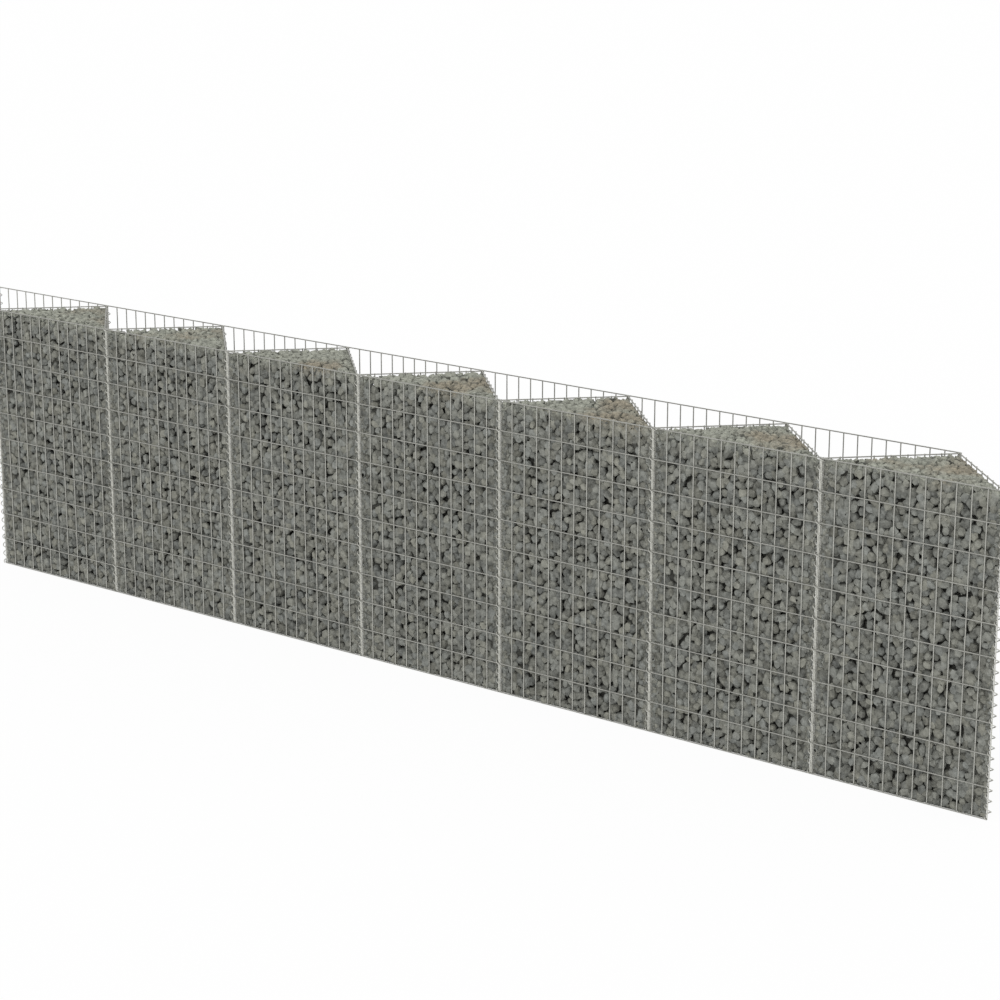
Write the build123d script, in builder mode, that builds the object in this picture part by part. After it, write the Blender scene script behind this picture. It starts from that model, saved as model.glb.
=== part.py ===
# Gabion wall: welded mesh panels laced by spiral binders into a zigzag row of triangular cells
import math
import os

from build123d import *

# Wall, measured between the joint lines where the panels meet
bay_count = 7
bay_length = 600.0
wall_depth = 300.0
wall_height = 1000.0

# Welded mesh: round wire drawn as square bars of the same cross-section
wire_diameter = 4.0
row_count = 10
face_columns = 12
diagonal_columns = 8
face_edge_inset = 2.3
diagonal_edge_inset = 6.1

# Spiral binders: a wire turned round each joint line
spiral_wire_diameter = 3.2
spiral_radius = 10.4
turns_per_row = 3
sides_per_turn = 8

# Stone fill of the front cells
fill_drop = 5.0
fill_clearance = 0.3
fill_corner_radius = 16.0
fill_edge_chamfer = 10.0

wire_side = wire_diameter * math.sqrt(math.pi) / 2
spiral_side = spiral_wire_diameter * math.sqrt(math.pi) / 2
row_pitch = (wall_height - wire_side) / row_count
spiral_pitch = row_pitch / turns_per_row
wall_length = (bay_count + 0.5) * bay_length
front_y = -wall_depth / 2
back_y = wall_depth / 2
diagonal_length = math.hypot(bay_length / 2, wall_depth)
diagonal_slope = math.atan2(wall_depth, bay_length / 2)

# The back joints stand half a bay to the left of the front ones
back_joints = [(bay * bay_length - wall_length / 2, back_y) for bay in range(bay_count + 1)]
front_joints = [(x + bay_length / 2, front_y) for x, y in back_joints]


def save(part, name):
    part.label = name
    export_step(part, f"parts/{name}.step", write_pcurves=False)


def panel_plane(start, end, facing):
    # Upright plane midway between two joints, with its normal turned to the facing angle
    normal = Vector(1, 0, 0).rotate(Axis.Z, facing)
    middle = ((start[0] + end[0]) / 2, (start[1] + end[1]) / 2, wall_height / 2)
    return Plane(origin=middle, x_dir=normal.rotate(Axis.Z, 90), z_dir=normal)


def welded_panel(plane, width, columns, row_overhang):
    # Upright wires lie in the joint plane, and the cross wires are welded on its normal side
    with BuildPart() as panel:
        with BuildSketch(plane.offset(-wire_side / 2)):
            with GridLocations(width / columns, 0, columns + 1, 1):
                Rectangle(wire_side, wall_height)
        extrude(amount=wire_side)
        with BuildSketch(plane.offset(wire_side / 2)):
            with GridLocations(0, row_pitch, 1, row_count + 1):
                Rectangle(width + 2 * row_overhang, wire_side)
        extrude(amount=wire_side)
    return panel.part


def face_panel(start, end, facing):
    # Front or back panel, whose cross wires run out flush with its edge wires
    width = bay_length - 2 * face_edge_inset
    return welded_panel(panel_plane(start, end, facing), width, face_columns, wire_side / 2)


def diagonal_panel(start, end, facing):
    # Divider from front to back, whose cross wires stop at the middle of its edge wires
    width = diagonal_length - 2 * diagonal_edge_inset
    return welded_panel(panel_plane(start, end, facing), width, diagonal_columns, 0)


def spiral_binder(heading):
    # One binder about the Z axis, with both wire ends on its heading side at the end rows
    lead = math.atan2(spiral_pitch, 2 * math.pi * spiral_radius)
    climb = Vector(0, math.cos(lead), math.sin(lead))
    step_count = row_count * turns_per_row * sides_per_turn
    with BuildPart() as binder:
        for step in range(step_count + 1):
            angle = heading + 360 * step / sides_per_turn
            outward = Vector(1, 0, 0).rotate(Axis.Z, angle)
            rise = Vector(0, 0, wire_side / 2 + spiral_pitch * step / sides_per_turn)
            station = Plane(
                origin=outward * spiral_radius + rise,
                x_dir=outward,
                z_dir=climb.rotate(Axis.Z, angle),
            )
            with BuildSketch(station):
                Rectangle(spiral_side, spiral_side)
        loft(ruled=True)
    return binder.part


def stone_fill(middle_x):
    # Body of stones between a front panel and its two diagonals, rounded clear of the binders
    front_gap = wire_side / 2 + fill_clearance
    side_gap = wire_side * 3 / 2 + fill_clearance
    corner_shift = (side_gap + front_gap * math.cos(diagonal_slope)) / math.sin(diagonal_slope)
    half_width = bay_length / 2 - corner_shift
    apex_y = back_y - side_gap / math.cos(diagonal_slope)
    with BuildPart() as fill:
        with BuildSketch(Plane(origin=(middle_x, 0, 0))):
            with BuildLine():
                Polyline(
                    (-half_width, front_y + front_gap),
                    (half_width, front_y + front_gap),
                    (0, apex_y),
                    close=True,
                )
            make_face()
        extrude(amount=wall_height - fill_drop)
        fillet(fill.edges().filter_by(Axis.Z), fill_corner_radius)
        chamfer(fill.faces().sort_by(Axis.Z)[-1].edges(), fill_edge_chamfer)
    return fill.part


os.makedirs("parts", exist_ok=True)

# Mesh panels, with the cross wires outside on the faces and on the stone side of the diagonals
slope_angle = math.degrees(diagonal_slope)
for bay in range(bay_count):
    save(face_panel(front_joints[bay], front_joints[bay + 1], -90), f"front_panel_{bay + 1}")
    save(face_panel(back_joints[bay], back_joints[bay + 1], 90), f"back_panel_{bay + 1}")
for bay in range(bay_count + 1):
    leaning_left = diagonal_panel(front_joints[bay], back_joints[bay], -90 - slope_angle)
    save(leaning_left, f"diagonal_panel_{2 * bay + 1:02d}")
for bay in range(bay_count):
    leaning_right = diagonal_panel(front_joints[bay], back_joints[bay + 1], -90 + slope_angle)
    save(leaning_right, f"diagonal_panel_{2 * bay + 2:02d}")

# Stone fill, one body to a front cell; the back cells stand empty
for bay in range(bay_count):
    save(stone_fill(back_joints[bay + 1][0]), f"stone_fill_{bay + 1}")

# Spiral binders, one on every joint line
with BuildPart() as front_spirals:
    with Locations(*front_joints):
        add(spiral_binder(-90))
save(front_spirals.part, "front_spirals")
with BuildPart() as back_spirals:
    with Locations(*back_joints):
        add(spiral_binder(90))
save(back_spirals.part, "back_spirals")
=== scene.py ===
import math
import bmesh
import bpy
from mathutils import Matrix, Vector


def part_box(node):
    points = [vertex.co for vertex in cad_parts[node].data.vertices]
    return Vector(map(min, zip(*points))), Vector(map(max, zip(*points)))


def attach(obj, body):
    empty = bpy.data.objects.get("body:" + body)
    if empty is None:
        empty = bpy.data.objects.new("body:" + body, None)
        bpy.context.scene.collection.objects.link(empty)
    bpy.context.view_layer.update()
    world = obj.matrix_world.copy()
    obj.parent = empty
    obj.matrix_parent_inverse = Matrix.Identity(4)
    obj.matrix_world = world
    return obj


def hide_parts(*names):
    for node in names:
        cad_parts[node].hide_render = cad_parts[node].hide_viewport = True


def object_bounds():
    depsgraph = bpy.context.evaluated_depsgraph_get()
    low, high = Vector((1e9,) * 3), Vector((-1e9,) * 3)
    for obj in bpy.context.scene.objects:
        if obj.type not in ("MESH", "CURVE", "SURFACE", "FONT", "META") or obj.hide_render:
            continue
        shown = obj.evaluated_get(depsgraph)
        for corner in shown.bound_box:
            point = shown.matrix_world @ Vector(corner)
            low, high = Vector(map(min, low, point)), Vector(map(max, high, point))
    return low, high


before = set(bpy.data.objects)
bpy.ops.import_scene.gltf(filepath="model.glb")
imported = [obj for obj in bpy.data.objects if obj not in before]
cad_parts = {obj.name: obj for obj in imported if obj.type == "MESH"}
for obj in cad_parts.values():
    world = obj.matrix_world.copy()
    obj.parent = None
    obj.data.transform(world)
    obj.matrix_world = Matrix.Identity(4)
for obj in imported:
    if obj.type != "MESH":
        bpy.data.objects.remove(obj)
cadLow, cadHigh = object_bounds()


class Flow:  # one socket of a node tree: maths on it adds Math nodes
    def __init__(self, tree, socket=None):
        self.tree = tree
        self.socket = socket

    def plug(self, socket, value):
        if isinstance(value, Flow):
            self.tree.links.new(value.socket, socket)
        else:
            socket.default_value = value

    def node(self, kind, settings=None, inputs=None, out=0):
        made = self.tree.nodes.new(kind)
        for name, value in (settings or {}).items():
            setattr(made, name, value)
        for key, value in (inputs or {}).items():
            self.plug(made.inputs[key], value)
        return Flow(self.tree, made.outputs[out] if made.outputs else None)

    def out(self, name):  # another output of the node this socket is on
        return Flow(self.tree, self.socket.node.outputs[name])

    def math(self, operation, *values):
        return self.node("ShaderNodeMath", {"operation": operation}, dict(enumerate(values)))

    def vector(self, operation, *values, out=0):
        return self.node("ShaderNodeVectorMath", {"operation": operation}, dict(enumerate(values)), out)

    def scaled(self, factor):
        return self.node("ShaderNodeVectorMath", {"operation": "SCALE"}, {0: self, "Scale": factor})

    def spot(self, x=0.0, y=0.0, z=0.0):  # a vector from its parts
        return self.node("ShaderNodeCombineXYZ", None, {0: x, 1: y, 2: z})

    def colour(self, value):  # a fixed colour to mix from
        made = self.node("ShaderNodeRGB")
        made.socket.default_value = value
        return made

    def mixed(self, other, factor, blend="MIX"):  # colours
        return self.node("ShaderNodeMix", {"data_type": "RGBA", "blend_type": blend},
                         {0: factor, 6: self, 7: other}, 2)

    def ranged(self, low, high, newLow=0.0, newHigh=1.0, smooth=False):
        return self.node("ShaderNodeMapRange", {"interpolation_type": "SMOOTHSTEP" if smooth else "LINEAR"},
                         {0: self, 1: low, 2: high, 3: newLow, 4: newHigh})

    def noise(self, place, scale, detail, rough=0.5):
        return self.node("ShaderNodeTexNoise", None,
                         {"Vector": place, "Scale": scale, "Detail": detail, "Roughness": rough})

    def carried(self, name):  # a value that the mesh carries, for a material
        return self.node("ShaderNodeAttribute", {"attribute_name": name}, None, "Fac")

    def __add__(self, other):
        return self.math("ADD", self, other)

    def __radd__(self, other):
        return self.math("ADD", other, self)

    def __sub__(self, other):
        return self.math("SUBTRACT", self, other)

    def __rsub__(self, other):
        return self.math("SUBTRACT", other, self)

    def __mul__(self, other):
        return self.math("MULTIPLY", self, other)

    def __rmul__(self, other):
        return self.math("MULTIPLY", other, self)

    def __truediv__(self, other):
        return self.math("DIVIDE", self, other)

    def __rtruediv__(self, other):
        return self.math("DIVIDE", other, self)


# Joint lines of the wall, read from the spiral binders of the frame
frontLow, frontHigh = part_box("front_spirals")
backLow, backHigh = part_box("back_spirals")
coilReach = (frontHigh.y - frontLow.y) / 2
frontY = (frontLow.y + frontHigh.y) / 2
backY = (backLow.y + backHigh.y) / 2
bayCount = sum(name.startswith("front_panel_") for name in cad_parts)
bayLength = (frontHigh.x - frontLow.x - 2 * coilReach) / bayCount
frontJoints = [Vector((frontLow.x + coilReach + n * bayLength, frontY, 0)) for n in range(bayCount + 1)]
backJoints = [Vector((backLow.x + coilReach + n * bayLength, backY, 0)) for n in range(bayCount + 1)]
wallHeight = cadHigh.z
wallDepth = backY - frontY
slope = math.atan2(wallDepth, bayLength / 2)  # of the diagonals, in plan
quarter = math.pi / 2
print("frame:", bayCount, "bays of", round(bayLength, 3), "m")


def newMaterial(name):
    made = bpy.data.materials.new(name)
    made.use_nodes = True
    made.node_tree.nodes.clear()
    flow = Flow(made.node_tree)
    shader = flow.node("ShaderNodeBsdfPrincipled")
    flow.node("ShaderNodeOutputMaterial", None, {"Surface": shader})
    return made, flow, shader.socket.node


zinc = {
    "dull": (0.33, 0.33, 0.302, 1),
    "bright": (0.50, 0.498, 0.456, 1),
    "spangle": 260.0,  # per metre
    "weather": 9.0,
    "spangleShare": 0.55,  # of the two patterns in the colour
    "weatherShare": 0.45,
    "roughness": (0.5, 0.36),  # where dull, where bright
    "metallic": 0.55,
    "shine": {"upright": 1.0, "cross": 0.8, "weld": 0.88, "coil": 1.18},  # painted light and shade: brightness of each kind of wire, darker on the cross wires and welds, brighter on the coils
}


def galvanisedMaterial(name):
    made, flow, shader = newMaterial(name)
    place = flow.node("ShaderNodeTexCoord", None, None, "Object")
    spangle = flow.node("ShaderNodeTexVoronoi", None, {"Vector": place, "Scale": zinc["spangle"]}, "Color")
    spangle = flow.node("ShaderNodeSeparateColor", None, {0: spangle})
    weather = flow.noise(place, zinc["weather"], 4.0)
    mask = spangle * zinc["spangleShare"] + weather * zinc["weatherShare"]
    colour = flow.colour(zinc["dull"]).mixed(zinc["bright"], mask)
    # the zinc colour is scaled by the painted light and shade that each kind of wire carries
    flow.plug(shader.inputs["Base Color"], colour.scaled(flow.carried("shine")))
    flow.plug(shader.inputs["Roughness"], mask.ranged(0.2, 0.8, *zinc["roughness"]))
    shader.inputs["Metallic"].default_value = zinc["metallic"]
    return made


stone = {
    "dark": (0.055, 0.056, 0.049, 1),
    "light": (0.272, 0.276, 0.246, 1),
    "coolTint": (0.974, 1.0, 1.04, 1),  # each stone's colour is tinted between these two
    "warmTint": (1.026, 1.008, 0.957, 1),
    # the dust colours on the tops are also painted lighter, for the light from above
    "topDustAndLight": (0.428, 0.442, 0.37, 1),
    "topBrownAndLight": (0.378, 0.334, 0.246, 1),
    "gap": (0.018, 0.018, 0.015, 1),
    "mottle": 60.0,  # scale of the mottling
    "grain": 210.0,
    "patch": 5.5,  # of the brown patches
    "span": (0.3, 0.7),  # of the mottling and the grain, from dark to light
    "shares": {"tone": 0.5, "mottle": 0.6, "grain": 0.2},  # in a stone's shade
    "shadeDrop": 0.15,
    "topFrom": 0.94,  # height where the dusty top begins, of the wall's
    "topTo": 0.99,
    "topFacing": (-0.2, 0.6),  # upward slope of what is bare and what is dusty
    "topCover": 0.85,
    "brownFrom": 0.15,  # middle of the brown patch, right of the apex, of a bay
    "brownPull": 0.12,  # how far the patches keep to that place
    "brownDrop": 0.03,
    "brownSpan": (0.5, 0.71),
    "pits": {"mottle": 0.8, "grain": 0.5},  # dark pits in the dust
    "pitSpan": (0.8, 0.45),
    "pitCover": 0.75,
    "gapSpan": (0.004, 0.026),  # depth behind the mesh over which the gaps darken
    "gapCover": 0.8,
    "roughness": (0.95, 0.78),
    "bump": {"Strength": 0.5, "Distance": 0.002},
}


def stoneMaterial():
    made, flow, shader = newMaterial("crushedStone")
    place = flow.node("ShaderNodeTexCoord", None, None, "Object")
    along = flow.node("ShaderNodeSeparateXYZ", None, {0: place}, "X")
    height = along.out("Z")
    normal = flow.node("ShaderNodeNewGeometry", None, None, "Normal")
    facing = flow.node("ShaderNodeSeparateXYZ", None, {0: normal}, "Z")
    tone = flow.carried("tone")
    mottle = flow.noise(place, stone["mottle"], 5.0, 0.6)
    grain = flow.noise(place, stone["grain"], 3.0)
    patch = flow.noise(place, stone["patch"], 3.0)

    # bare stone, each one a little cooler or warmer than the next
    shares = stone["shares"]
    mottled = mottle.ranged(*stone["span"]) * shares["mottle"]
    grained = grain.ranged(*stone["span"]) * shares["grain"]
    shade = tone * shares["tone"] + mottled + grained - stone["shadeDrop"]
    colour = flow.colour(stone["dark"]).mixed(stone["light"], shade)
    warmth = flow.math("FRACT", tone * 7.0)
    tint = flow.colour(stone["coolTint"]).mixed(stone["warmTint"], warmth)
    colour = colour.mixed(tint, 1.0, "MULTIPLY")

    # dust on the open tops, with brown patches and dark pits, and painted light: the upward-facing stones
    # near the top are lighter as if lit from above
    bay = (along - backJoints[0].x) / bayLength - stone["brownFrom"]
    patch = patch + flow.math("COSINE", bay * math.tau) * stone["brownPull"] - stone["brownDrop"]
    brown = patch.ranged(*stone["brownSpan"], 0, 1, True)
    dustAndTopLight = flow.colour(stone["topDustAndLight"]).mixed(stone["topBrownAndLight"], brown)
    pits = mottle * stone["pits"]["mottle"] + grain * stone["pits"]["grain"]
    dustAndTopLight = dustAndTopLight.mixed(stone["dark"], pits.ranged(*stone["pitSpan"], 0, stone["pitCover"]))
    top = height.ranged(stone["topFrom"] * wallHeight, stone["topTo"] * wallHeight, 0, 1, True)
    top = top * facing.ranged(*stone["topFacing"])
    colour = colour.mixed(dustAndTopLight, top * stone["topCover"])

    # shade in the gaps between the stones
    gaps = flow.carried("depth").ranged(*stone["gapSpan"], 0, stone["gapCover"], True)
    flow.plug(shader.inputs["Base Color"], colour.mixed(stone["gap"], gaps))
    flow.plug(shader.inputs["Roughness"], mottle.ranged(*stone["span"], *stone["roughness"]))
    bump = flow.node("ShaderNodeBump", None, {**stone["bump"], "Height": grain + mottle * 2})
    flow.plug(shader.inputs["Normal"], bump)
    return made


def newTree(name, inputs):  # inputs: label to socket type
    tree = bpy.data.node_groups.new(name, "GeometryNodeTree")
    tree.interface.new_socket("Geometry", in_out="OUTPUT", socket_type="NodeSocketGeometry")
    for label, kind in inputs.items():
        tree.interface.new_socket(label, in_out="INPUT", socket_type="NodeSocket" + kind)
    entry = tree.nodes.new("NodeGroupInput")
    flow = Flow(tree)
    return tree, flow, {label: Flow(tree, entry.outputs[label]) for label in inputs}


def endTree(flow, shape, material):  # every tree ends in plain, painted geometry
    real = flow.node("GeometryNodeRealizeInstances", None, {"Geometry": shape})
    painted = flow.node("GeometryNodeSetMaterial", None, {"Geometry": real, "Material": material})
    flow.node("NodeGroupOutput", None, {0: painted})


def keep(shape, name, kind, value):  # geometry that carries a named value on its points
    return shape.node("GeometryNodeStoreNamedAttribute", {"data_type": kind, "domain": "POINT"},
                      {"Geometry": shape, "Name": name, "Value": value})


def growMesh(tree, values, base=None):  # runs a tree and keeps its result as a plain mesh
    holder = bpy.data.objects.new("holder", base or bpy.data.meshes.new("holder"))
    bpy.context.scene.collection.objects.link(holder)
    modifier = holder.modifiers.new("grow", "NODES")
    modifier.node_group = tree
    for item in tree.interface.items_tree:
        if item.in_out == "INPUT" and item.name in values:
            modifier[item.identifier] = values[item.name]
    ready = holder.evaluated_get(bpy.context.evaluated_depsgraph_get())
    mesh = bpy.data.meshes.new_from_object(ready)
    holder.modifiers.remove(modifier)
    bpy.data.objects.remove(holder)
    return mesh


def smoothUnder(mesh, degrees):
    mesh.polygons.foreach_set("use_smooth", [True] * len(mesh.polygons))
    mesh.set_sharp_from_angle(angle=math.radians(degrees))


def addPiece(name, mesh, slot, *nodes):
    mesh.name = name
    piece = bpy.data.objects.new(name, mesh)
    bpy.context.scene.collection.objects.link(piece)
    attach(piece, "root")
    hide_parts(*nodes)


weldedMesh = {
    "Wire Radius": 0.002,
    "Rows": 10,
    "Sides": 8,
    "Weld": 0.0027,  # half-length of a weld nugget
    "Sink": 0.15,  # share of a wire's diameter that the weld presses into the other
    "nuggetShape": (1.0, 0.8, 0.72),
    "crease": 50,  # degrees
}
# the edge uprights by the joints get painted light: brighter on the face panels, a little darker on the
# diagonals
faceMesh = {"Columns": 12, "Edge Inset": 0.0023, "Overhang": 0.002, "Edge Painted Light": 1.38}
diagonalMesh = {"Columns": 8, "Edge Inset": 0.0061, "Overhang": 0.0, "Edge Painted Light": 0.95}


def weldedTree():  # X along the panel, Z up, cross wires on the +Y side of the uprights
    tree, flow, given = newTree("weldedMesh", {
        "Width": "Float", "Height": "Float", "Columns": "Int", "Rows": "Int", "Wire Radius": "Float",
        "Overhang": "Float", "Sides": "Int", "Weld": "Float", "Sink": "Float", "Edge Painted Light": "Float",
        "Material": "Material"})
    radius = given["Wire Radius"]
    half = given["Width"] / 2
    layer = radius * (2 - 2 * given["Sink"])
    section = flow.node("GeometryNodeCurvePrimitiveCircle", None,
                        {"Resolution": given["Sides"], "Radius": radius})

    def bar(start, end):
        line = flow.node("GeometryNodeCurvePrimitiveLine", None, {"Start": start, "End": end})
        return flow.node("GeometryNodeCurveToMesh", None,
                         {"Curve": line, "Profile Curve": section, "Fill Caps": True})

    def row(count, start, end, shape, shine):
        line = flow.node("GeometryNodeMeshLine", {"mode": "END_POINTS"},
                         {"Count": count, "Start Location": start, "Offset": end})
        return flow.node("GeometryNodeInstanceOnPoints", None,
                         {"Points": keep(line, "shine", "FLOAT", shine), "Instance": shape})

    upright = bar(flow.spot(), flow.spot(z=given["Height"]))
    index = flow.node("GeometryNodeInputIndex")
    atEdge = flow.math("LESS_THAN", index, 0.5) + flow.math("GREATER_THAN", index, given["Columns"] - 0.5)
    # painted light and shade on the uprights, the edge ones set apart from the rest
    shine = atEdge.ranged(0, 1, zinc["shine"]["upright"], given["Edge Painted Light"])
    uprights = row(given["Columns"] + 1, flow.spot(0 - half), flow.spot(half), upright, shine)
    reach = half + given["Overhang"]
    crossWire = bar(flow.spot(0 - reach, layer), flow.spot(reach, layer))
    lowest = flow.spot(z=radius)
    highest = flow.spot(z=given["Height"] - radius)
    # painted shade: the cross wires are darker than the uprights
    crossWires = row(given["Rows"] + 1, lowest, highest, crossWire, zinc["shine"]["cross"])
    grid = flow.node("GeometryNodeMeshGrid", None, {
        "Size X": given["Width"], "Size Y": given["Height"] - 2 * radius,
        "Vertices X": given["Columns"] + 1, "Vertices Y": given["Rows"] + 1})
    grid = flow.node("GeometryNodeTransform", None, {
        "Geometry": grid, "Rotation": (quarter, 0, 0),
        "Translation": flow.spot(0, layer / 2, given["Height"] / 2)})
    nugget = flow.node("GeometryNodeMeshIcoSphere", None, {"Radius": given["Weld"], "Subdivisions": 1})
    # painted shade: the welds are a little darker than the uprights
    welds = flow.node("GeometryNodeInstanceOnPoints", None, {
        "Points": keep(grid, "shine", "FLOAT", zinc["shine"]["weld"]), "Instance": nugget,
        "Scale": weldedMesh["nuggetShape"]})
    joined = flow.node("GeometryNodeJoinGeometry", None, {"Geometry": uprights})
    for part in (crossWires, welds):
        flow.plug(joined.socket.node.inputs[0], part)
    endTree(flow, joined, given["Material"])
    return tree


def placePanel(pattern, start, end, facing, node):  # facing: plan angle of the side with the cross wires
    normal = Vector((math.cos(facing), math.sin(facing), 0))
    up = Vector((0, 0, 1))
    turned = Matrix((normal.cross(up), normal, up)).transposed().to_4x4()
    mesh = pattern.copy()
    mesh.transform(Matrix.Translation((start + end) / 2) @ turned)
    addPiece(node + ".wire", mesh, "galvanised_mesh", node)


spiralBinder = {
    "Radius": 0.0095,
    "Wire Radius": 0.0016,
    "Turns": 30.0,
    "Steps": 16,  # per turn
    "Sides": 6,
    "crease": 60,  # degrees
}


def spiralTree():  # a row of binders from the first joint to the last
    tree, flow, given = newTree("spiralBinder", {
        "Radius": "Float", "Wire Radius": "Float", "Turns": "Float", "Steps": "Int", "Sides": "Int",
        "Height": "Float", "Heading": "Float", "Joints": "Int", "First": "Vector", "Last": "Vector",
        "Material": "Material"})
    coil = flow.node("GeometryNodeCurveSpiral", None, {
        "Resolution": given["Steps"], "Rotations": given["Turns"], "Start Radius": given["Radius"],
        "End Radius": given["Radius"], "Height": given["Height"]})
    coil = flow.node("GeometryNodeTransform", None,
                     {"Geometry": coil, "Rotation": flow.spot(z=given["Heading"])})
    section = flow.node("GeometryNodeCurvePrimitiveCircle", None,
                        {"Resolution": given["Sides"], "Radius": given["Wire Radius"]})
    coil = flow.node("GeometryNodeCurveToMesh", None,
                     {"Curve": coil, "Profile Curve": section, "Fill Caps": True})
    joints = flow.node("GeometryNodeMeshLine", {"mode": "END_POINTS"}, {
        "Count": given["Joints"], "Start Location": given["First"], "Offset": given["Last"]})
    # painted light: the coils are brighter than the plain zinc
    joints = keep(joints, "shine", "FLOAT", zinc["shine"]["coil"])
    coils = flow.node("GeometryNodeInstanceOnPoints", None, {"Points": joints, "Instance": coil})
    endTree(flow, coils, given["Material"])
    return tree


rubble = {
    "Stone": 0.0174,  # mean half-size of a stone
    "Spacing": 0.0196,
    "chip": 0.6,  # size of the chips in edges and corners, of a stone's
    "Seed": 11,
    "density": 30000.0,  # at most, to a square metre, before the spacing thins them
    "leastSize": (0.8, 0.75, 0.7),  # of a stone's three half-sizes
    "mostSize": (1.4, 1.25, 1.05),
    "anyTurn": (6.28, 6.28, 6.28),
    "lumps": 1.3,  # scale of the lumps on a stone
    "lumpReach": (0.8, 1.35),
    "facets": 8,  # flat cuts to a stone
    "facetReach": (0.6, 1.0),  # from the middle of the stone
    "topLevel": 0.983,  # height of the uppermost stone centres
    "frontGap": 0.0022,  # from a joint plane to the stones
    "sideGap": 0.0062,
    "chipGap": 0.001,
    "jointGap": 0.0118,
    "chipJointGap": 0.0072,
    "groundGap": 0.001,
    "rimDrop": 0.001,
    "edgeDrop": 0.01,  # of the stones along the right-hand diagonals, under the rim
    "edgePitch": 0.3,  # how steeply they rise from there
    "crease": 20,  # degrees
}
stoneSizes = {  # size and spacing, of a stone's, and corners to an edge of the block it is cut from
    "stone": (1.0, 1.0, 3),
    "packing": (1.3, 1.2, 2),
    "chip": (rubble["chip"], 0.32, 2),
}
shell = {  # where the stone centres lie, in metres
    "stoneDepth": 0.0128,  # behind the mesh
    "stoneFoot": 0.009,  # above the ground
    "packDepth": 0.0255,  # the second layer
    "packFoot": 0.02,
    "packTop": 0.02,  # under the top level
    "packLid": 0.018,
    "groundChips": (0.008, 0.004, 0.014),  # depth, lowest and highest
    "rimChips": (0.009, -0.002, 0.006),  # depth, and lowest and highest from the top level
    "cornerChips": (0.009, 0.044),  # start and end of the run from a front joint
    "apexChips": (0.0125, 0.036),  # and from the back joint
    "chipFoot": 0.006,
    "chipRise": 0.006,  # over the top level
}


def cellPlan(depth):  # plan corners of a front cell, set in behind its three meshes
    half = bayLength / 2 - depth * (1 + math.cos(slope)) / math.sin(slope)
    return [(-half, frontY + depth), (half, frontY + depth), (0, backY - depth / math.cos(slope))]


def cellShell(middle):  # faces that the stones are scattered on, graded by stone size
    mesh = bpy.data.meshes.new("cellShell")
    build = bmesh.new()
    grade = build.faces.layers.float.new("grade")
    top = rubble["topLevel"] * wallHeight

    def face(points, kind):
        made = build.faces.new([build.verts.new((middle + x, y, z)) for x, y, z in points])
        made[grade] = stoneSizes[kind][0]

    def wall(start, end, low, high, kind):
        face([(*start, low), (*end, low), (*end, high), (*start, high)], kind)

    def ring(depth, low, high, kind):
        plan = cellPlan(depth)
        for start, end in zip(plan, plan[1:] + plan[:1]):
            wall(start, end, low, high, kind)

    def lid(depth, height, kind):
        face([(x, y, height) for x, y in cellPlan(depth)], kind)

    ring(shell["stoneDepth"], shell["stoneFoot"], top, "stone")
    lid(shell["stoneDepth"], top, "stone")
    ring(shell["packDepth"], shell["packFoot"], top - shell["packTop"], "packing")
    lid(shell["packDepth"], top - shell["packLid"], "packing")
    ring(*shell["groundChips"], "chip")
    depth, low, high = shell["rimChips"]
    ring(depth, top + low, top + high, "chip")
    chipWalls = []
    for side in (-1, 1):  # in the narrow corners, halfway between the two meshes
        chipWalls.append([(side * (bayLength / 2 - run), frontY + run * math.tan(slope / 2))
                          for run in shell["cornerChips"]])
    chipWalls.append([(0, backY - run) for run in shell["apexChips"]])
    for start, end in chipWalls:
        wall(start, end, shell["chipFoot"], top + shell["chipRise"], "chip")
    build.to_mesh(mesh)
    build.free()
    return mesh


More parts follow.
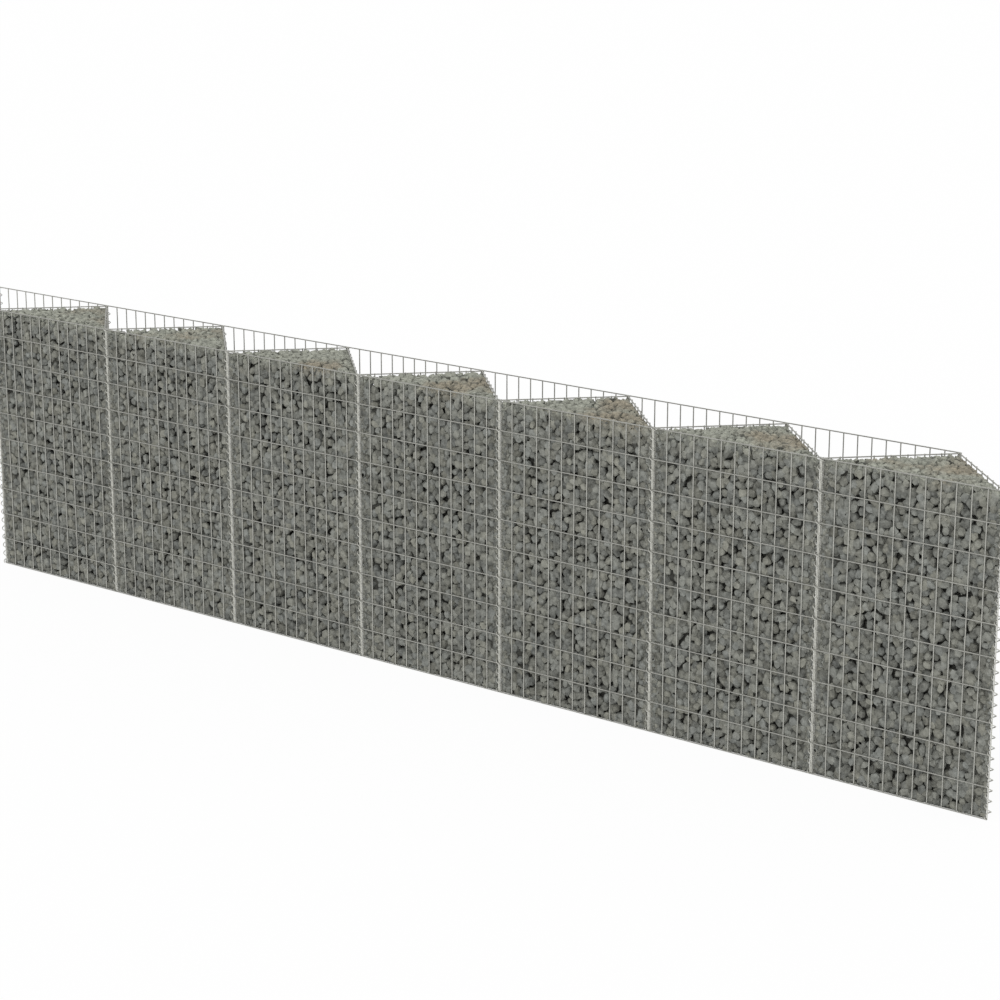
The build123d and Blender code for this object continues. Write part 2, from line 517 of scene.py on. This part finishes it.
def rubbleTree():
    tree, flow, given = newTree("rubble", {
        "Shell": "Geometry", "Stone": "Float", "Spacing": "Float", "Seed": "Int", "Middle": "Float",
        "Material": "Material"})

    def recall(name, kind):
        return flow.node("GeometryNodeInputNamedAttribute", {"data_type": kind}, {"Name": name})

    def chance(low, high, seed):
        return flow.node("FunctionNodeRandomValue", {"data_type": "FLOAT_VECTOR"},
                         {"Min": low, "Max": high, "Seed": given["Seed"] * 17 + seed})

    grade = recall("grade", "FLOAT")
    position = flow.node("GeometryNodeInputPosition")
    unit = flow.vector("NORMALIZE", position)
    stones = flow.node("GeometryNodeJoinGeometry")
    for number, (size, spacing, corners) in enumerate(stoneSizes.values()):
        chosen = flow.node("FunctionNodeCompare", {"operation": "EQUAL"},
                           {"A": grade, "B": size, "Epsilon": 0.01})
        points = flow.node("GeometryNodeDistributePointsOnFaces", {"distribute_method": "POISSON"}, {
            "Mesh": given["Shell"], "Selection": chosen, "Distance Min": given["Spacing"] * spacing,
            "Density Max": rubble["density"], "Seed": given["Seed"] + number})
        spread = chance(rubble["leastSize"], rubble["mostSize"], number).scaled(grade * given["Stone"])
        lean = chance((0, 0, 0), rubble["anyTurn"], number + 5)
        tone = flow.node("FunctionNodeRandomValue", None, {"Seed": given["Seed"] + number}, 1)
        points = keep(points, "centre", "FLOAT_VECTOR", position)
        points = keep(points, "proportion", "FLOAT_VECTOR", spread)
        points = keep(points, "lean", "FLOAT_VECTOR", lean)
        points = keep(points, "tone", "FLOAT", tone)
        block = flow.node("GeometryNodeMeshCube", None, {
            "Size": (2, 2, 2), "Vertices X": corners, "Vertices Y": corners, "Vertices Z": corners})
        block = keep(block, "unit", "FLOAT_VECTOR", unit)
        blocks = flow.node("GeometryNodeInstanceOnPoints", None, {"Points": points, "Instance": block})
        flow.plug(stones.socket.node.inputs[0], blocks)
    stones = flow.node("GeometryNodeRealizeInstances", None, {"Geometry": stones})

    # each block becomes a lumpy ball, and each cut flattens one side of it
    unit = recall("unit", "FLOAT_VECTOR")
    centre = recall("centre", "FLOAT_VECTOR")
    lumps = flow.noise(flow.vector("ADD", unit, centre.scaled(53.0)), rubble["lumps"], 1.0)
    reach = lumps.ranged(0, 1, *rubble["lumpReach"])
    for cut in range(rubble["facets"]):
        dice = flow.node("ShaderNodeTexWhiteNoise", {"noise_dimensions": "4D"},
                         {"Vector": centre.scaled(1000.0), "W": cut + 0.5}, "Color")
        side = flow.vector("NORMALIZE", flow.vector("SUBTRACT", dice, (0.5, 0.5, 0.5)))
        along = flow.vector("DOT_PRODUCT", unit, side, out="Value")
        level = dice.out("Value").ranged(0, 1, *rubble["facetReach"])
        reach = flow.math("MINIMUM", reach, level / flow.math("MAXIMUM", along, 0.05))
    shaped = flow.vector("MULTIPLY", unit.scaled(reach), recall("proportion", "FLOAT_VECTOR"))
    shaped = flow.node("ShaderNodeVectorRotate", {"rotation_type": "EULER_XYZ"},
                       {"Vector": shaped, "Rotation": recall("lean", "FLOAT_VECTOR")})
    across = flow.spot(given["Middle"])
    place = flow.vector("SUBTRACT", flow.vector("ADD", shaped, centre), across)

    # the stones are pressed flat where they meet a mesh, the rim, the ground or a binder
    sine, cosine = math.sin(slope), math.cos(slope)
    jointGap = grade.ranged(rubble["chip"], 1.0, rubble["chipJointGap"], rubble["jointGap"])
    side = backY * cosine - grade.ranged(rubble["chip"], 1.0, rubble["chipGap"], rubble["sideGap"])
    pitch, edgeLevel = rubble["edgePitch"], wallHeight - rubble["rimDrop"] - rubble["edgeDrop"]
    run = math.hypot(1, pitch)
    limits = [((-sine, cosine, 0), side),
              ((sine, cosine, 0), side),
              ((0, -1, 0), -frontY - rubble["frontGap"]),
              ((0, 0, 1), wallHeight - rubble["rimDrop"]),
              ((sine * pitch / run, cosine * pitch / run, 1 / run), (side * pitch + edgeLevel) / run)]
    half = bayLength / 2 - jointGap
    stops = [((0, 0, -1), -rubble["groundGap"]),
             ((0, 1, 0), backY - jointGap),
             ((-1, 0, 0), half),
             ((1, 0, 0), half)]
    depth = None  # behind the nearest of the limits, for the shade in the gaps
    for number, (normal, limit) in enumerate(limits + stops):
        over = flow.vector("DOT_PRODUCT", place, normal, out="Value") - limit
        if number < len(limits):
            behind = 0 - over
            depth = behind if depth is None else flow.math("MINIMUM", depth, behind)
        push = flow.spot(*normal).scaled(flow.math("MAXIMUM", over, 0.0))
        place = flow.vector("SUBTRACT", place, push)
    place = flow.vector("ADD", place, across)
    stones = keep(stones, "depth", "FLOAT", depth)
    stones = flow.node("GeometryNodeSetPosition", None, {"Geometry": stones, "Position": place})
    endTree(flow, stones, given["Material"])
    return tree


core = {  # plain bodies behind the stones, in metres; the heart is a dark body that stands in for the shade deep between the stones
    "depth": 0.031,  # of the heart's sides behind the mesh
    "nose": 0.0072,  # from a joint to the heart's tips
    "noseStretch": 1.15,  # of that, along a diagonal
    "sideTip": 0.0026,  # from a diagonal's plane to a tip
    "frontTip": 0.0034,
    "apexTaper": 0.09,  # lengths of the heart's narrow ends
    "cornerTaper": 0.12,
    "heartFoot": 0.002,
    "heartTop": 0.02,  # under the top level
    "fines": (0.006, 0.0005, 0.0075),  # depth, lowest and highest
    "wedge": 0.05,  # length from the joint
    "wedgeSpan": (-0.03, 0.004),  # lowest and highest from the top level
    "shade": {"tip": 0.006, "heart": 0.05, "wedge": 0.01, "fines": 0.02},  # depth that the material reads, which sets the painted shade on each body
    "tone": 0.4,
}


def mirrored(plan):
    return [(Vector((-spot.x, spot.y)), shade) for spot, shade in reversed(plan)]


def corePlans():  # plans of a cell's heart and of the wedges in its narrow corners: spots and their shades
    depth, nose, shade = core["depth"], core["nose"], core["shade"]
    along = Vector((math.cos(slope), math.sin(slope)))
    inward = Vector((math.sin(slope), -math.cos(slope)))
    corner = Vector((-bayLength / 2, frontY))
    apex = Vector((0, backY))
    stretch, sideTip = core["noseStretch"] * nose * along, core["sideTip"] * inward
    tip = [(apex - stretch + sideTip, shade["tip"])]
    ends = [(corner + stretch + sideTip, shade["tip"]),
            (corner + Vector((nose, core["frontTip"])), shade["tip"])]
    left = tip + [(apex - core["apexTaper"] * along + depth * inward, shade["heart"]),
                  (corner + core["cornerTaper"] * along + depth * inward, shade["heart"])]
    left += ends + [(corner + Vector((core["cornerTaper"], depth)), shade["heart"])]
    length = core["wedge"]
    cornerWedge = ends + [(corner + Vector((length, length * math.tan(slope / 2))), shade["wedge"])]
    apexWedge = mirrored(tip) + tip + [(apex - Vector((0, length)), shade["wedge"])]
    return left + mirrored(left), (cornerWedge, mirrored(cornerWedge), apexWedge)


def addCore(mesh, middle):  # the heart of a cell, painted dark as the shade behind the stones, the fines on the ground and the corner wedges, which take lighter painted shade
    build = bmesh.new()
    build.from_mesh(mesh)
    deep = build.verts.layers.float["depth"]
    tone = build.verts.layers.float["tone"]
    top = rubble["topLevel"] * wallHeight
    heart, wedges = corePlans()
    depth, low, high = core["fines"]
    fines = [(Vector(spot), core["shade"]["fines"]) for spot in cellPlan(depth)]
    bodies = [(heart, core["heartFoot"], top - core["heartTop"]), (fines, low, high)]
    low, high = core["wedgeSpan"]
    bodies += [(wedge, top + low, top + high) for wedge in wedges]
    for plan, low, high in bodies:
        rings = []
        for z in (low, high):
            rings.append([build.verts.new((middle + spot.x, spot.y, z)) for spot, shade in plan])
            for vert, (spot, shade) in zip(rings[-1], plan):
                # painted shade: the depth darkens each body's colour
                vert[deep] = shade
                vert[tone] = core["tone"]
        faces = [build.faces.new(rings[1]), build.faces.new(reversed(rings[0]))]
        for n in range(len(plan)):
            after = (n + 1) % len(plan)
            faces.append(build.faces.new((rings[0][n], rings[0][after], rings[1][after], rings[1][n])))
        for face in faces:
            face.material_index = mesh.polygons[0].material_index
    build.to_mesh(mesh)
    build.free()


meshZinc = galvanisedMaterial("galvanisedMesh")
coilZinc = galvanisedMaterial("spiralWire")
stonePaint = stoneMaterial()

# welded panels: one mesh for the faces and one for the diagonals, placed on every bay
tree = weldedTree()
common = {**weldedMesh, "Height": wallHeight, "Material": meshZinc}
faceWidth = bayLength - 2 * faceMesh["Edge Inset"]
diagonalWidth = math.hypot(bayLength / 2, wallDepth) - 2 * diagonalMesh["Edge Inset"]
facePattern = growMesh(tree, {**common, **faceMesh, "Width": faceWidth})
diagonalPattern = growMesh(tree, {**common, **diagonalMesh, "Width": diagonalWidth})
for pattern in (facePattern, diagonalPattern):
    smoothUnder(pattern, weldedMesh["crease"])
for n in range(bayCount):
    placePanel(facePattern, frontJoints[n], frontJoints[n + 1], -quarter, f"front_panel_{n + 1}")
    placePanel(facePattern, backJoints[n], backJoints[n + 1], quarter, f"back_panel_{n + 1}")
for n in range(bayCount + 1):
    node = f"diagonal_panel_{2 * n + 1:02d}"
    placePanel(diagonalPattern, frontJoints[n], backJoints[n], -quarter - slope, node)
for n in range(bayCount):
    node = f"diagonal_panel_{2 * n + 2:02d}"
    placePanel(diagonalPattern, frontJoints[n], backJoints[n + 1], slope - quarter, node)
print("welded mesh:", len(facePattern.polygons), "faces to a face panel")

# spiral binders on the joint lines
tree = spiralTree()
lift = Vector((0, 0, 2 * spiralBinder["Wire Radius"]))
for node, joints, heading in (("front_spirals", frontJoints, -quarter),
                              ("back_spirals", backJoints, quarter)):
    mesh = growMesh(tree, {**spiralBinder, "Height": wallHeight - 2 * lift.z, "Heading": heading,
                           "Joints": len(joints), "First": joints[0] + lift, "Last": joints[-1] + lift,
                           "Material": coilZinc})
    smoothUnder(mesh, spiralBinder["crease"])
    addPiece(node + ".wire", mesh, "spiral_wire", node)
    print(node, len(mesh.polygons), "faces")

# stones, cell by cell
tree = rubbleTree()
for n in range(bayCount):
    middle = backJoints[n + 1].x
    values = {**rubble, "Seed": rubble["Seed"] + n, "Middle": middle, "Material": stonePaint}
    mesh = growMesh(tree, values, cellShell(middle))
    addCore(mesh, middle)
    for name in ("centre", "proportion", "lean", "unit", "grade"):  # only needed while growing
        if name in mesh.attributes:
            mesh.attributes.remove(mesh.attributes[name])
    smoothUnder(mesh, rubble["crease"])
    addPiece(f"stone_fill_{n + 1}.stones", mesh, "stone_fill", f"stone_fill_{n + 1}")
    print("stones:", len(mesh.polygons), "faces in cell", n + 1)


studio = {
    "floor": (0.9, 0.9, 0.9, 1),
    "floorHalf": 40,
    "floorDrop": 0.0005,  # under the wall's foot
    "floorWhite": 0.95,  # of the backdrop's white that the floor shows, the rest takes shadow
    "sky": 0.87,
    "sunStrength": 0.95,
    "sunAim": (math.radians(60), 0, math.radians(15)),
    "sunSoftness": math.radians(35),
}
white = (1, 1, 1, 1)


def whiteToCamera(flow):  # 1 where the camera sees the backdrop, straight or in a reflection
    path = flow.node("ShaderNodeLightPath", None, None, "Is Camera Ray")
    seen = flow.math("MAXIMUM", path, path.out("Is Glossy Ray"))
    return flow.math("MAXIMUM", seen, path.out("Is Transmission Ray"))


edge = studio["floorHalf"]
floorMesh = bpy.data.meshes.new("floor")
floorCorners = [(-edge, -edge, 0), (edge, -edge, 0), (edge, edge, 0), (-edge, edge, 0)]
floorMesh.from_pydata(floorCorners, [], [(0, 1, 2, 3)])
floor = bpy.data.objects.new("floor", floorMesh)
bpy.context.scene.collection.objects.link(floor)
floor.location.z = -studio["floorDrop"]
floorPaint = bpy.data.materials.new("floorPaint")
floorPaint.use_nodes = True
floorPaint.node_tree.nodes.clear()
flow = Flow(floorPaint.node_tree)
pale = flow.node("ShaderNodeBsdfDiffuse", None, {"Color": studio["floor"]})
glow = flow.node("ShaderNodeEmission", None, {"Color": white, "Strength": 1.0})
seen = whiteToCamera(flow) * studio["floorWhite"]
blend = flow.node("ShaderNodeMixShader", None, {0: seen, 1: pale, 2: glow})
flow.node("ShaderNodeOutputMaterial", None, {"Surface": blend})
floorMesh.materials.append(floorPaint)

world = bpy.data.worlds.new("studio")
bpy.context.scene.world = world
world.use_nodes = True
world.node_tree.nodes.clear()
flow = Flow(world.node_tree)
strength = whiteToCamera(flow) * (1 - studio["sky"]) + studio["sky"]
sky = flow.node("ShaderNodeBackground", None, {"Color": white, "Strength": strength})
flow.node("ShaderNodeOutputWorld", None, {"Surface": sky})

sun = bpy.data.lights.new("sun", "SUN")
sun.energy = studio["sunStrength"]
sun.angle = studio["sunSoftness"]
sunHolder = bpy.data.objects.new("sun", sun)
sunHolder.rotation_euler = studio["sunAim"]
bpy.context.scene.collection.objects.link(sunHolder)
print("studio: floor, sky and sun")

viewpoint = {
    "place": (5.4702, -6.6772, 2.9793),
    "heading": math.radians(37.55),  # to the left of +Y
    "pitch": math.radians(15.71),  # downwards
    "lens": 94.54,
}
eye = bpy.data.cameras.new("eye")
eye.lens = viewpoint["lens"]
eye.sensor_width = 36
eye.clip_end = 100
eyeHolder = bpy.data.objects.new("eye", eye)
eyeHolder.location = viewpoint["place"]
eyeHolder.rotation_euler = (quarter - viewpoint["pitch"], 0, viewpoint["heading"])
bpy.context.scene.collection.objects.link(eyeHolder)
bpy.context.scene.camera = eyeHolder
bpy.context.scene.view_settings.view_transform = "Standard"

pieces = [o for o in bpy.data.objects if o.type == "MESH" and "." in o.name]
print("triangles:", sum(len(p.vertices) - 2 for o in pieces for p in o.data.polygons))
